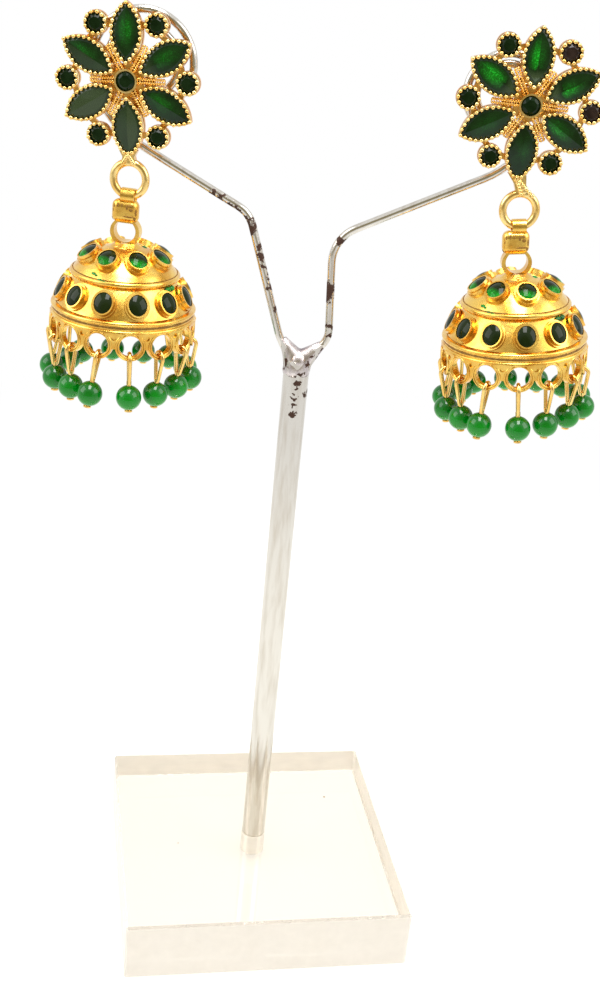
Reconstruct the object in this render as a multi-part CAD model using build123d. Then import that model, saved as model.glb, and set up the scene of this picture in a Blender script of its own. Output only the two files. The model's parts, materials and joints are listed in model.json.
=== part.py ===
from build123d import *
import os
from collections import namedtuple
from math import asin, cos, pi, radians, sin, sqrt, tan

# A pair of jhumka earrings hung on a small display stand.
# Millimetres, +Z up, the flowers face -Y. The origin is the centre of the base's underside.
# Metal that is cast or soldered together is one solid. Stones, beads and drop wires are
# separate pieces, each with a small gap round it.

# ---- Stand -------------------------------------------------------------------------------
BASE_SIDE = 54.0          # square clear block
BASE_THICKNESS = 12.0
BASE_TURN = 11.7          # degrees, seen from above, between the block and the arms
BASE_EDGE = 0.4           # bevel on the block's edges
ROD_RADIUS = 2.25
ROD_TOP = 113.4
SOCKET_DEPTH = 9.0        # blind hole in the block that holds the rod
SOCKET_GAP = 0.1
ARM_WIRE_RADIUS = 0.68
ROD_EDGE = 0.5            # bevel round the rod's top
SOLDER_SADDLE = 2.2       # thickness of the solder web between the two arms
# Outline of that web: (x, height above the rod's top).
SADDLE_OUTLINE = [(-2.1, -2.0), (2.1, -2.0), (4.3, 2.9), (2.6, 1.8), (1.2, 1.0), (0.2, 0.8), (-0.9, 1.1),
                  (-2.0, 1.9), (-3.2, 3.2)]

# One row for each bent wire arm. Places are (x, z) in the plane of the arms. reach is -1 for
# the arm that goes to -X. rise is the slope of the long outer run, in degrees. The end is a
# flat coil about coil: half_turns are the radii of its half turns, from the outside in, and
# tail is the radius and the arc, in degrees, of its last piece, which carries the ear post.
Arm = namedtuple("Arm", "reach foot knee elbow knee_bend elbow_bend rise coil half_turns tail")
ARMS = {
    "left": Arm(-1, (-1.0, 112.0), (-3.6, 117.0), (-10.2, 137.4), 5.0, 5.0, 26.7,
                (-28.95, 159.8), (8.1, 6.9, 5.7), (5.0, 155)),
    "right": Arm(1, (1.0, 112.0), (5.0, 117.2), (4.0, 134.65), 4.0, 6.5, 27.2,
                 (29.4, 160.2), (6.5, 5.66, 4.85), (4.1, 75)),
}

# ---- Earrings ----------------------------------------------------------------------------
# One row for each earring: flower centre (x, z), how far forward of the arms' plane the
# flower's back stands, turn about the upright (negative faces -X), roll in its own plane
# (positive turns its foot towards +X), the ring's centre (aside, drop) from the flower's, lean
# of the bell on its ring, and the turn of the bell's pattern about its own axis. Degrees.
Earring = namedtuple("Earring", "flower forward turn roll ring lean pattern")
EARRINGS = {
    "left": Earring((-30.82, 157.1), 1.8, -7.0, 3.3, (0.0, -15.56), -0.5, 15.5),
    "right": Earring((32.8, 159.43), 1.8, 2.6, -1.7, (1.5, -16.65), 6.6, -10.8),
}

# Flower. Local frame: x right, y up, z out of the face, back of the flower at z = 0.
PETALS = 6
PETAL_CENTRE = 7.15       # from the flower's centre to a petal stone's middle
PETAL_LENGTH = 8.7
PETAL_WIDTH = 4.45
PETAL_SLOPE = 4.0         # degrees that a petal falls away outwards
SMALL_STONE_CENTRE = 9.85
SMALL_STONE_RADIUS = 1.52
STONE_GAP = 0.06          # round a stone in its setting
BEZEL_WALL = 0.34
GALLERY_FLANGE = 0.4      # how far the low plate stands out round each stone
GALLERY_THICKNESS = 0.65
TIE_RINGS = ((1.8, 2.7), (3.4, 4.4), (8.4, 9.3))    # inner and outer radius of the rings under the petals
BEZEL_FOOT = 0.4
BEZEL_TOP = 1.6
CENTRE_BEZEL_TOP = 2.3
GIRDLE_DROP = 0.25        # stone's girdle below the top of its bezel
GIRDLE = 0.15             # thickness of a cut stone's girdle
STONE_DEPTH = 0.6         # of a cut stone below the top of its girdle
# Levels of a cut petal stone: (share of the full outline, height over the girdle's top).
PETAL_CUT = [(0.5, -STONE_DEPTH), (1.0, -GIRDLE), (1.0, 0.0), (0.86, 0.3), (0.6, 0.5)]
PETAL_SIDES = 7           # facets along each long side of a petal stone
ROUND_SIDES = 8           # sides of a round stone's table; twice as many round its girdle
ROUND_BASE = 0.4          # its flat base and its table, as shares of its radius
ROUND_TABLE = 0.62
ROUND_CROWN = 0.45        # height of its table over the girdle
RING_RADIUS = 2.72        # ring soldered under the flower, to the middle of its wire
RING_WIRE_RADIUS = 0.65
RING_LEVEL = 0.7          # height of the ring's wire in the flower's frame
TAB_WIDTH = 2.0           # neck of the tab between the flower and its ring
TAB_FLARE = (0.5, 0.15)   # how much wider each side is at the flower, and at the ring
TAB_OVERLAP = 0.6         # how far the tab runs up under the petal
TAB_INSET = 0.1           # tab's faces behind the faces of the ring's wire
POST_ROOT = 0.2           # how deep the post is soldered into the back
POST_RADIUS = 0.45
POST_LENGTH = 10.0
NUT_FLANGE_RADIUS = 2.8
NUT_FLANGE = 0.7
NUT_HUB_RADIUS = 1.7
NUT_LENGTH = 3.2
NUT_SEAT = 3.3            # from the flower's back to the nut's flange
NUT_GAP = 0.06
NUT_EDGE = 0.25           # rounding of the nut's edges

# Bell. Local frame: origin at the stud ring's centre, z up along the bell's axis, front -Y.
STRAP_WIDTH = 2.3         # part of the bail that wraps the stud ring's wire
STRAP_RADIUS = 1.3
BORE_WAIST = 0.8          # the strap's hole, narrowest in the middle and flared at both ends
BORE_MOUTH = 1.22
BORE_HALF = 1.4           # half the length that the flare is drawn over
SHOULDER = (4.5, 2.5, 3.9)      # bail's shoulder block: width, depth, height
SHOULDER_TOP = -3.3
SHOULDER_EDGE = 1.15
SHOULDER_ASIDE = -0.4     # the bail is bent a little to one side above the bell
LOOP_CENTRE = -8.6        # bail's lower loop
LOOP_ASIDE = -0.2
LOOP_HALF = (2.5, 2.4)
LOOP_DEPTH = 1.8
LOOP_HOLE_HALF = (1.85, 1.85)
LOOP_HOLE_CENTRE = -8.45
LOOP_HOLE_TOP = -7.1      # the hole's flat top, under the shoulder
SOLDER_FOOT = (3.0, -11.25)     # solder under the bail: radius and height at the dome
SOLDER_HEAD = (1.75, -10.35)    # and at the bail
CAP_TOP = -10.7
CAP_RADIUS = 11.03        # sphere of the upper dome
LEDGE_RADIUS = 8.75       # edge where the upper dome overhangs the lower band
BAND_TOP = (8.5, -15.95)
BAND_MIDDLE = (10.15, -18.4)
BAND_FOOT = (11.35, -20.7)
LEDGE_BULGE = (0.5, -0.36)      # how the ledge's lip rolls out and down
RIM_RADIUS = 11.9         # bottom of the groove between the rim's two rolls
RIM_FOOT = -22.9
RIM_STEP = 0.1            # slope from the band to the rim
RIM_ROLL = 0.33           # how far the rolls stand out
RIM_ROLLS = (0, 0.16, 0.32, 0.66, 0.83, 1)    # their edges, as shares of the rim's height
RIM_WIDTH = 1.0           # of the flat under the rim
BELL_WALL = 0.85
INNER_DROP = 0.3          # how much lower the inner corners sit than the outer ones
# One row for each tier of stones: how many, turn of the first, radius and height of the seat
# on the bell's surface, upward tilt of the stone, half width and half height of the stone.
Tier = namedtuple("Tier", "count first radius height tilt half_width half_height")
TIERS = {
    "upper": Tier(8, 17.5, 6.14, -12.56, 56.2, 1.5, 1.64),
    "lower": Tier(12, 12.0, 10.12, -18.56, 28.5, 1.48, 1.72),
}
COLLET_RIM = 0.3          # wall round a dome stone, and the wider collar under it
COLLET_COLLAR = 0.62
COLLET_HEIGHT = 1.0
COLLAR_HEIGHT = 0.45
COLLET_ROOT = 0.5         # how deep a collet is sunk into the bell's wall
POCKET_DEPTH = 0.7
STONE_TOP = 0.24          # crown of a dome stone above its collet
STONE_CURVE = 2.9         # radius of that crown

# Skirt of cast rings, and the bead drops that hang in them.
SKIRT_COUNT = 14
SKIRT_FIRST = 6.5
SKIRT_RADIUS = 11.7
SKIRT_HEIGHT = -24.76
SKIRT_HOLE = 1.8
SKIRT_OUTER = 2.5
SKIRT_HALF_DEPTH = 0.5
SKIRT_RIDGE = 0.16        # height of the two ridges on a ring
WEB_DEPTH = 0.5
WEB_TOP_HALF = 1.75       # half widths of a web at the rim and at its foot
WEB_FOOT_HALF = 0.3
WEB_FOOT = -0.5           # below the rings' middles
WEB_OVERLAP = 0.3         # how far a web runs up into the rim
WEB_DIMPLE = 0.42         # radius of the dimple in a web's face
WEB_DIMPLE_DEPTH = 0.3
WEB_DIMPLE_DROP = 0.78    # dimple's middle below the web's top
DROP_WIRE_RADIUS = 0.33
DROP_SEAT = 0.2          # under the top of the loop, above the ring's wire
LOOP_HALF_WIDTH = 1.22
LOOP_FOOT_HALF = 0.28
LOOP_BEND = 1.02
LOOP_TO_BEAD = 0.3        # from the loop's foot to the bead
SHANK_OVERLAP = 0.4       # how far the shank runs up into the loop's foot
BEAD_RADIUS = 2.1
BEAD_BORE = 0.5
SHANK_RADIUS = 0.42
BEAD_BELOW_RING = 6.6     # from the ring's lower wire to the bead's centre
HEAD_RADIUS = 0.65
HEAD_HEIGHT = 0.25
HEAD_GAP = 0.1
# How each drop hangs off plumb, in degrees: along the rim, then outwards. Counted from the
# first skirt ring, in the direction of +X.
DROP_LEANS = [(1, 4), (-1, -4), (5, -8), (9, 2), (9, 6), (9, 12), (3, 12),
              (1, 12), (3, 9), (-4, -5), (-8, 3), (-2, -1), (-2, -3), (-8, 5)]

OUT_OF_FACE = Rot(90, 0, 0)     # turns a piece drawn on XY so that it faces -Y


def flower_frame(side):
    """Place of the flower's local frame."""
    spec = EARRINGS[side]
    x, z = spec.flower
    turn = Rot(0, 0, spec.turn)
    return Pos(x, -spec.forward, z) * turn * OUT_OF_FACE * Rot(0, 0, spec.roll)


def bell_frame(side):
    """Place of the bell's local frame, at the stud ring's centre."""
    spec = EARRINGS[side]
    ring = (flower_frame(side) * Pos(*spec.ring, RING_LEVEL)).position
    return Pos(*ring) * Rot(0, 0, spec.turn) * Rot(0, -spec.lean, 0)


# ---- Stand pieces ------------------------------------------------------------------------
def stand_base():
    block = Pos(0, 0, BASE_THICKNESS / 2) * Box(BASE_SIDE, BASE_SIDE, BASE_THICKNESS)
    block = chamfer(block.edges(), BASE_EDGE)
    floor = BASE_THICKNESS - SOCKET_DEPTH
    socket = Pos(0, 0, floor + BASE_THICKNESS / 2) * Cylinder(ROD_RADIUS + SOCKET_GAP, BASE_THICKNESS)
    return Rot(0, 0, BASE_TURN) * (block - socket)


def arm_wire(arm):
    """One bent wire arm with its flat end coil."""
    out = arm.reach
    across, up = out * cos(radians(arm.rise)), sin(radians(arm.rise))
    outer_x = arm.coil[0] + out * arm.half_turns[0]
    corner_z = arm.elbow[1] + abs(outer_x - arm.elbow[0]) * tan(radians(arm.rise))
    tangent = arm.coil[1] - corner_z
    turn = 90 - arm.rise
    run_end = (outer_x - tangent * across, corner_z - tangent * up)
    lead = FilletPolyline(arm.foot, arm.knee, arm.elbow, run_end,
                          radius=[arm.knee_bend, arm.elbow_bend])
    route = [lead, JernArc(lead @ 1, lead % 1, tangent / tan(radians(turn / 2)), out * turn)]
    for radius, arc in [(radius, 180) for radius in arm.half_turns] + [arm.tail]:
        route.append(JernArc(route[-1] @ 1, route[-1] % 1, radius, out * arc))
    path = Plane.XZ * Wire([edge for piece in route for edge in piece.edges()])
    section = Plane(origin=path @ 0, z_dir=path % 0) * Circle(ARM_WIRE_RADIUS)
    return sweep(section, path=path) + Pos(*(path @ 1)) * Sphere(ARM_WIRE_RADIUS)


def stand_rod_and_arms():
    """Rod, the two arms and the solder that joins them."""
    foot = BASE_THICKNESS - SOCKET_DEPTH + SOCKET_GAP
    rod = Pos(0, 0, (foot + ROD_TOP) / 2) * Cylinder(ROD_RADIUS, ROD_TOP - foot)
    rod = chamfer(rod.edges().sort_by(Axis.Z)[-1], ROD_EDGE)
    outline = Polyline(*[(x, ROD_TOP + up) for x, up in SADDLE_OUTLINE], close=True)
    saddle = Plane.XZ * extrude(make_face(outline), SOLDER_SADDLE / 2, both=True)
    return rod + [saddle, arm_wire(ARMS["left"]), arm_wire(ARMS["right"])]


# ---- Flower ------------------------------------------------------------------------------
def petal_arc(grow=0.0):
    """Radius of a petal outline's two arcs, and how far each arc's centre is off the middle."""
    radius = (PETAL_LENGTH ** 2 + PETAL_WIDTH ** 2) / (4 * PETAL_WIDTH)
    return radius + grow, radius - PETAL_WIDTH / 2


def petal_outline(grow):
    """Pointed oval, larger by grow all round."""
    radius, offset = petal_arc(grow)
    tip = sqrt(radius ** 2 - offset ** 2)
    side = radius - offset
    return make_face([ThreePointArc((-tip, 0), (0, side), (tip, 0)),
                      ThreePointArc((tip, 0), (0, -side), (-tip, 0))])


def round_outline(grow):
    return Circle(SMALL_STONE_RADIUS + grow)


def petal_stone():
    """Faceted pointed oval: its outline's corners scaled at each level of the cut."""
    radius, offset = petal_arc()
    half = asin(PETAL_LENGTH / 2 / radius)
    angles = [half * (2 * i / PETAL_SIDES - 1) for i in range(PETAL_SIDES)]
    corners = [(radius * sin(a), radius * cos(a) - offset) for a in angles]
    corners += [(-x, -y) for x, y in corners]
    return ConvexPolyhedron([(x * share, y * share, z) for share, z in PETAL_CUT for x, y in corners])


def round_stone():
    """Round stone with an eight-sided table and sixteen crown facets."""
    def ring(share, count, first, z):
        turns = [2 * pi * (i + first) / count for i in range(count)]
        return [(share * SMALL_STONE_RADIUS * cos(a), share * SMALL_STONE_RADIUS * sin(a), z) for a in turns]
    return ConvexPolyhedron(
        ring(ROUND_BASE, ROUND_SIDES, 0, -STONE_DEPTH) + ring(1, 2 * ROUND_SIDES, 0, -GIRDLE)
        + ring(1, 2 * ROUND_SIDES, 0, 0.0) + ring(ROUND_TABLE, ROUND_SIDES, 0.5, ROUND_CROWN))


def petal_seat(index, slope=PETAL_SLOPE):
    """Local frame of a petal: x outwards along the petal."""
    return Rot(0, 0, 360 / PETALS * index + 90) * Pos(PETAL_CENTRE, 0, 0) * Rot(0, slope, 0)


def small_stone_seat(index):
    return Rot(0, 0, 360 / PETALS * index) * Pos(SMALL_STONE_CENTRE, 0, 0)


def stud_frame(side):
    """Flower's cast metal with its ring and ear post."""
    ring_x, ring_y = EARRINGS[side].ring
    seats = [(petal_seat(i, 0), petal_seat(i), petal_outline, BEZEL_TOP) for i in range(PETALS)]
    seats += [(small_stone_seat(i), small_stone_seat(i), round_outline, BEZEL_TOP)
              for i in range(PETALS)]
    seats.append((Pos(0, 0, 0), Pos(0, 0, 0), round_outline, CENTRE_BEZEL_TOP))
    metal, pockets = [extrude(Circle(b) - Circle(a), GALLERY_THICKNESS) for a, b in TIE_RINGS], []
    for flat_seat, seat, outline, top in seats:
        metal.append(flat_seat * extrude(outline(GALLERY_FLANGE), GALLERY_THICKNESS))
        metal.append(seat * extrude(Pos(0, 0, BEZEL_FOOT) * outline(BEZEL_WALL), top - BEZEL_FOOT))
        floor = top - GIRDLE_DROP - STONE_DEPTH - STONE_GAP
        pockets.append(seat * extrude(Pos(0, 0, floor) * outline(STONE_GAP), top - floor + STONE_DEPTH))

    ring_top = ring_y + RING_RADIUS
    tab_root = -PETAL_CENTRE - PETAL_LENGTH / 2 + TAB_OVERLAP
    # Stations down the tab: (x of its middle, y, half width).
    tab_rows = [(0, tab_root, TAB_WIDTH / 2 + TAB_FLARE[0]),
                (ring_x / 2, (tab_root + ring_top) / 2, TAB_WIDTH / 2),
                (ring_x, ring_top, TAB_WIDTH / 2 + TAB_FLARE[1])]
    tab_face = make_face(Polyline(*[(x - half, y) for x, y, half in tab_rows],
                                  *[(x + half, y) for x, y, half in reversed(tab_rows)], close=True))
    tab = extrude(Pos(0, 0, TAB_INSET) * tab_face, 2 * (RING_LEVEL - TAB_INSET))
    ring = Pos(ring_x, ring_y, RING_LEVEL) * Torus(RING_RADIUS, RING_WIRE_RADIUS)
    post = Pos(0, 0, POST_ROOT - POST_LENGTH / 2) * Cylinder(POST_RADIUS, POST_LENGTH)
    return metal[0] + metal[1:] + [tab, ring, post] - pockets


def push_back_nut():
    """Plain push-on nut that holds the post behind the coil."""
    flange = Pos(0, 0, -NUT_SEAT - NUT_FLANGE / 2) * Cylinder(NUT_FLANGE_RADIUS, NUT_FLANGE)
    hub = Pos(0, 0, -NUT_SEAT - NUT_LENGTH / 2) * Cylinder(NUT_HUB_RADIUS, NUT_LENGTH)
    body = fillet((flange + hub).edges().filter_by(GeomType.CIRCLE), NUT_EDGE)
    return body - Pos(0, 0, -NUT_SEAT) * Cylinder(POST_RADIUS + NUT_GAP, 4 * NUT_LENGTH)


# ---- Bell --------------------------------------------------------------------------------
def bell_shell():
    """Hollow dome, overhanging ledge, lower band and rolled rim, turned about its axis."""
    sphere_z = CAP_TOP - CAP_RADIUS

    def cap(radius, r):
        return sphere_z + sqrt(radius ** 2 - r ** 2)

    inner = CAP_RADIUS - BELL_WALL
    inner_edge = BAND_TOP[0] - BELL_WALL
    ledge_z = cap(CAP_RADIUS, LEDGE_RADIUS)
    ledge_edge = (LEDGE_RADIUS + LEDGE_BULGE[0], ledge_z + LEDGE_BULGE[1])
    rim_top = BAND_FOOT[1] - RIM_STEP
    rolls = [rim_top + (RIM_FOOT - rim_top) * share for share in RIM_ROLLS]
    rim_inside = RIM_RADIUS - RIM_WIDTH
    band_inside = [(r - BELL_WALL, z - INNER_DROP) for r, z in (BAND_FOOT, BAND_MIDDLE, BAND_TOP)]
    profile = [
        ThreePointArc((0, CAP_TOP), (LEDGE_RADIUS / 2, cap(CAP_RADIUS, LEDGE_RADIUS / 2)),
                      (LEDGE_RADIUS, ledge_z)),
        ThreePointArc((LEDGE_RADIUS, ledge_z), ledge_edge, BAND_TOP),
        ThreePointArc(BAND_TOP, BAND_MIDDLE, BAND_FOOT),
        Line(BAND_FOOT, (RIM_RADIUS, rolls[0])),
        ThreePointArc((RIM_RADIUS, rolls[0]), (RIM_RADIUS + RIM_ROLL, rolls[1]), (RIM_RADIUS, rolls[2])),
        Line((RIM_RADIUS, rolls[2]), (RIM_RADIUS, rolls[3])),
        ThreePointArc((RIM_RADIUS, rolls[3]), (RIM_RADIUS + RIM_ROLL, rolls[4]), (RIM_RADIUS, RIM_FOOT)),
        Line((RIM_RADIUS, RIM_FOOT), (rim_inside, RIM_FOOT)),
        Line((rim_inside, RIM_FOOT), band_inside[0]),
        ThreePointArc(*band_inside),
        Line(band_inside[2], (inner_edge, cap(inner, inner_edge))),
        ThreePointArc((inner_edge, cap(inner, inner_edge)), (inner_edge / 2, cap(inner, inner_edge / 2)),
                      (0, CAP_TOP - BELL_WALL)),
        Line((0, CAP_TOP - BELL_WALL), (0, CAP_TOP)),
    ]
    return revolve(Plane.XZ * make_face(profile), Axis.Z)


def bail():
    """Strap round the stud ring's wire, shoulder block and lower loop, with the strap's bore."""
    strap = Pos(0, 0, -RING_RADIUS) * Rot(0, 90, 0) * Cylinder(STRAP_RADIUS, STRAP_WIDTH)
    block = Pos(SHOULDER_ASIDE, 0, SHOULDER_TOP - SHOULDER[2] / 2) * Box(*SHOULDER)
    block = fillet(block.edges(), SHOULDER_EDGE)
    opening = Pos(LOOP_ASIDE, LOOP_HOLE_CENTRE) * Ellipse(*LOOP_HOLE_HALF)
    opening -= Pos(LOOP_ASIDE, LOOP_HOLE_TOP + LOOP_HALF[1]) * Rectangle(2 * LOOP_HALF[0], 2 * LOOP_HALF[1])
    loop_face = Pos(LOOP_ASIDE, LOOP_CENTRE) * Ellipse(*LOOP_HALF) - opening
    loop = Plane.XZ * extrude(loop_face, LOOP_DEPTH / 2, both=True)
    solder = Pos(0, 0, (SOLDER_FOOT[1] + SOLDER_HEAD[1]) / 2) * Cone(
        SOLDER_FOOT[0], SOLDER_HEAD[0], SOLDER_HEAD[1] - SOLDER_FOOT[1])
    bore_face = make_face([
        ThreePointArc((-BORE_HALF, BORE_MOUTH), (0, BORE_WAIST), (BORE_HALF, BORE_MOUTH)),
        Polyline((BORE_HALF, BORE_MOUTH), (BORE_HALF, 0), (-BORE_HALF, 0), (-BORE_HALF, BORE_MOUTH))])
    bore = Pos(0, 0, -RING_RADIUS) * revolve(bore_face, Axis.X)
    return strap + [block, loop, solder] - bore


def tier_seats(tier, pattern):
    """Local frame of each stone in a tier: z out of the bell, y up its slope."""
    return [Rot(0, 0, pattern + tier.first + 360 / tier.count * i)
            * Pos(0, -tier.radius, tier.height) * Rot(90 - tier.tilt, 0, 0)
            for i in range(tier.count)]


def collet(tier):
    """Raised setting of a dome stone: a collar with a thinner rim on it."""
    def oval(grow):
        return Ellipse(tier.half_width + grow, tier.half_height + grow)
    foot = Pos(0, 0, -COLLET_ROOT)
    collar = extrude(foot * oval(COLLET_COLLAR), COLLET_ROOT + COLLAR_HEIGHT)
    rim = extrude(foot * oval(COLLET_RIM), COLLET_ROOT + COLLET_HEIGHT)
    return collar + rim


def dome_stone(tier, grow=0.0, top=STONE_TOP):
    """Low domed oval stone, or with grow the pocket that it sits in."""
    foot = COLLET_HEIGHT - POCKET_DEPTH
    oval = Ellipse(tier.half_width + grow, tier.half_height + grow)
    prism = extrude(Pos(0, 0, foot) * oval, POCKET_DEPTH + top)
    if grow:
        return prism
    crown = Pos(0, 0, COLLET_HEIGHT + top - STONE_CURVE) * Sphere(STONE_CURVE)
    return Pos(0, 0, STONE_GAP) * (prism & crown)


def skirt_turns(pattern):
    return [pattern + SKIRT_FIRST + 360 / SKIRT_COUNT * i for i in range(SKIRT_COUNT)]


def skirt_ring():
    """Flat cast ring with two rounded ridges on its outer face."""
    ridge = (SKIRT_OUTER - SKIRT_HOLE) / 4
    low, top, back = SKIRT_HALF_DEPTH - SKIRT_RIDGE, SKIRT_HALF_DEPTH, -SKIRT_HALF_DEPTH
    r0, r2, r4 = SKIRT_HOLE, (SKIRT_HOLE + SKIRT_OUTER) / 2, SKIRT_OUTER
    face = make_face([
        ThreePointArc((r0, low), (r0 + ridge, top), (r2, low)),
        ThreePointArc((r2, low), (r2 + ridge, top), (r4, low)),
        Polyline((r4, low), (r4, back), (r0, back), (r0, low))])
    return revolve(Plane.XZ * face, Axis.Z)


def skirt_web():
    """Dimpled three-cornered web that fills the space between two rings and the rim."""
    top = RIM_FOOT + WEB_OVERLAP - SKIRT_HEIGHT
    outline = make_face(Polyline((-WEB_TOP_HALF, top), (WEB_TOP_HALF, top), (WEB_FOOT_HALF, WEB_FOOT),
                                 (-WEB_FOOT_HALF, WEB_FOOT), close=True))
    dimple = Pos(0, top - WEB_DIMPLE_DROP, WEB_DEPTH / 2 - WEB_DIMPLE_DEPTH) * Circle(WEB_DIMPLE)
    return extrude(outline, WEB_DEPTH / 2, both=True) - extrude(dimple, WEB_DIMPLE_DEPTH)


def bell(side):
    """Dome, collets, bail and skirt as one casting."""
    pattern = EARRINGS[side].pattern
    pieces, pockets = [bail()], []
    for tier in TIERS.values():
        for seat in tier_seats(tier, pattern):
            pieces.append(seat * collet(tier))
            pockets.append(seat * dome_stone(tier, STONE_GAP, top=COLLET_HEIGHT))
    web_radius = SKIRT_RADIUS / cos(pi / SKIRT_COUNT)
    for turn in skirt_turns(pattern):
        pieces.append(Rot(0, 0, turn) * Pos(0, -SKIRT_RADIUS, SKIRT_HEIGHT) * OUT_OF_FACE * skirt_ring())
        pieces.append(Rot(0, 0, turn + 180 / SKIRT_COUNT) * Pos(0, -web_radius, SKIRT_HEIGHT)
                      * OUT_OF_FACE * skirt_web())
    return bell_shell() + pieces - pockets


def drop_seats(pattern):
    """Frame of each drop, at the middle of its ring's lower wire and leaning as it hangs."""
    lower_wire = SKIRT_HEIGHT - (SKIRT_HOLE + SKIRT_OUTER) / 2
    return [Rot(0, 0, turn) * Pos(0, -SKIRT_RADIUS, lower_wire) * Rot(-outward, 0, 0) * Rot(0, -along, 0)
            for turn, (along, outward) in zip(skirt_turns(pattern), DROP_LEANS)]


def drop_wire():
    """Long loop through a skirt ring, with a shank and head that carry the bead."""
    half_ring = (SKIRT_OUTER - SKIRT_HOLE) / 2
    top = half_ring + DROP_SEAT + DROP_WIRE_RADIUS
    foot = BEAD_RADIUS - BEAD_BELOW_RING + LOOP_TO_BEAD
    path = Plane.YZ * FilletPolyline((-LOOP_FOOT_HALF, foot), (-LOOP_HALF_WIDTH, top),
                                     (LOOP_HALF_WIDTH, top), (LOOP_FOOT_HALF, foot), radius=LOOP_BEND)
    section = Plane(origin=path @ 0, z_dir=path % 0) * Circle(DROP_WIRE_RADIUS)
    loop = sweep(section, path=path)
    bead_foot = -BEAD_BELOW_RING - sqrt(BEAD_RADIUS ** 2 - BEAD_BORE ** 2)
    head_top = bead_foot - HEAD_GAP
    shank_top = foot + SHANK_OVERLAP
    shank = Pos(0, 0, (shank_top + head_top) / 2) * Cylinder(SHANK_RADIUS, shank_top - head_top)
    head = Pos(0, 0, head_top - HEAD_HEIGHT / 2) * Cylinder(HEAD_RADIUS, HEAD_HEIGHT)
    return loop + [shank, head]


def bead():
    return Pos(0, 0, -BEAD_BELOW_RING) * (Sphere(BEAD_RADIUS) - Cylinder(BEAD_BORE, 3 * BEAD_RADIUS))


# ---- Assembly ----------------------------------------------------------------------------
def save(name, shape):
    export_step(shape, f"parts/{name}.step")


def loose(place, frames, piece):
    """Copies of one piece as loose solids of one node."""
    return Compound([(place * frame * piece).solid() for frame in frames])


os.makedirs("parts", exist_ok=True)
save("stand_base", stand_base())
save("stand_rod_and_arms", stand_rod_and_arms())

for side, spec in EARRINGS.items():
    flower = flower_frame(side)
    hang = bell_frame(side)
    save(f"{side}_stud_frame", flower * stud_frame(side))
    save(f"{side}_push_back_nut", flower * push_back_nut())
    save(f"{side}_centre_stone", flower * Pos(0, 0, CENTRE_BEZEL_TOP - GIRDLE_DROP) * round_stone())
    girdle = Pos(0, 0, BEZEL_TOP - GIRDLE_DROP)
    for i in range(PETALS):
        save(f"{side}_petal_stone_{i + 1}", flower * petal_seat(i) * girdle * petal_stone())
        save(f"{side}_small_stone_{i + 1}", flower * small_stone_seat(i) * girdle * round_stone())
    save(f"{side}_bell", hang * bell(side))
    for name, tier in TIERS.items():
        save(f"{side}_{name}_dome_stones", loose(hang, tier_seats(tier, spec.pattern), dome_stone(tier)))
    seats = drop_seats(spec.pattern)
    save(f"{side}_drop_wires", loose(hang, seats, drop_wire()))
    save(f"{side}_drop_beads", loose(hang, seats, bead()))
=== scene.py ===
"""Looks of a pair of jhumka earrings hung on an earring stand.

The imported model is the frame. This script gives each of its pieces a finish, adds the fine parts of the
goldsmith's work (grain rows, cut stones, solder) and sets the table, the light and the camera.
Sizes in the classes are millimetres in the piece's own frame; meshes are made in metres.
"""

from __future__ import annotations

import functools
import json
import logging
import math
import random
from dataclasses import dataclass
from enum import Enum
from typing import Any, Iterable

import bmesh
import bpy
import numpy
from bpy.types import Material, Node, NodeSocket, NodeTree, Object
from mathutils import Matrix, Vector

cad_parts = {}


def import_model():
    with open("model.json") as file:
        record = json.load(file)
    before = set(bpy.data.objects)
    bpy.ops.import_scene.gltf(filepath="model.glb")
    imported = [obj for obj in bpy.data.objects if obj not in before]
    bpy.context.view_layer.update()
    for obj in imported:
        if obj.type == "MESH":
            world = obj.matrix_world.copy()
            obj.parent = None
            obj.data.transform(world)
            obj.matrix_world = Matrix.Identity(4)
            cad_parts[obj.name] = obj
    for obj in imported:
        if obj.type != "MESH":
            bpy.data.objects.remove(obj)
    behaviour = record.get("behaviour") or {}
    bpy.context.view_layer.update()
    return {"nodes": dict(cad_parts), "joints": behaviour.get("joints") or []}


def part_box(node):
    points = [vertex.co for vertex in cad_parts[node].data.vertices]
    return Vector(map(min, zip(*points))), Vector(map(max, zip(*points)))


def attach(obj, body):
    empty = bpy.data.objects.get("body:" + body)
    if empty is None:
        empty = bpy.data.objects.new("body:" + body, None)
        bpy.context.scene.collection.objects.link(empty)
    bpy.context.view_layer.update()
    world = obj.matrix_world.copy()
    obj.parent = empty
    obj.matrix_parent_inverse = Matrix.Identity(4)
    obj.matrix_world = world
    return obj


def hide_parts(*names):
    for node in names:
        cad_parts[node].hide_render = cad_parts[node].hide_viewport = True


LOG = logging.getLogger("jhumka")
MM = 0.001
Row = tuple[float, ...]                 # a row of a table
ROOT_BODY = "stand_and_studs"
RING_RADIUS = 2.72                      # of the middle of the wire of the ring under each flower, in mm
SMOOTH = 180.0                          # an angle that leaves no edge of a piece sharp, in degrees


class Side(Enum):
    """Which earring of the pair."""

    LEFT = "left"
    RIGHT = "right"


class Slot(Enum):
    """Material slots of the record."""

    ACRYLIC = "clear_acrylic"
    STEEL = "plated_steel_wire"
    GOLD = "gold_plated_brass"
    STONE = "green_glass_stone"
    BEAD = "green_glass_bead"


# ---- Small tools -------------------------------------------------------------------------------


def linear(code: str) -> tuple[float, float, float, float]:
    """Turns an sRGB hex colour to linear.

    Args:
        code: Six hex digits, with or without a leading #.

    Returns:
        Red, green, blue and an alpha of 1.
    """
    parts = [int(code.lstrip("#")[i:i + 2], 16) / 255 for i in (0, 2, 4)]
    r, g, b = [c / 12.92 if c <= 0.04045 else ((c + 0.055) / 1.055) ** 2.4 for c in parts]
    return r, g, b, 1.0


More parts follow.
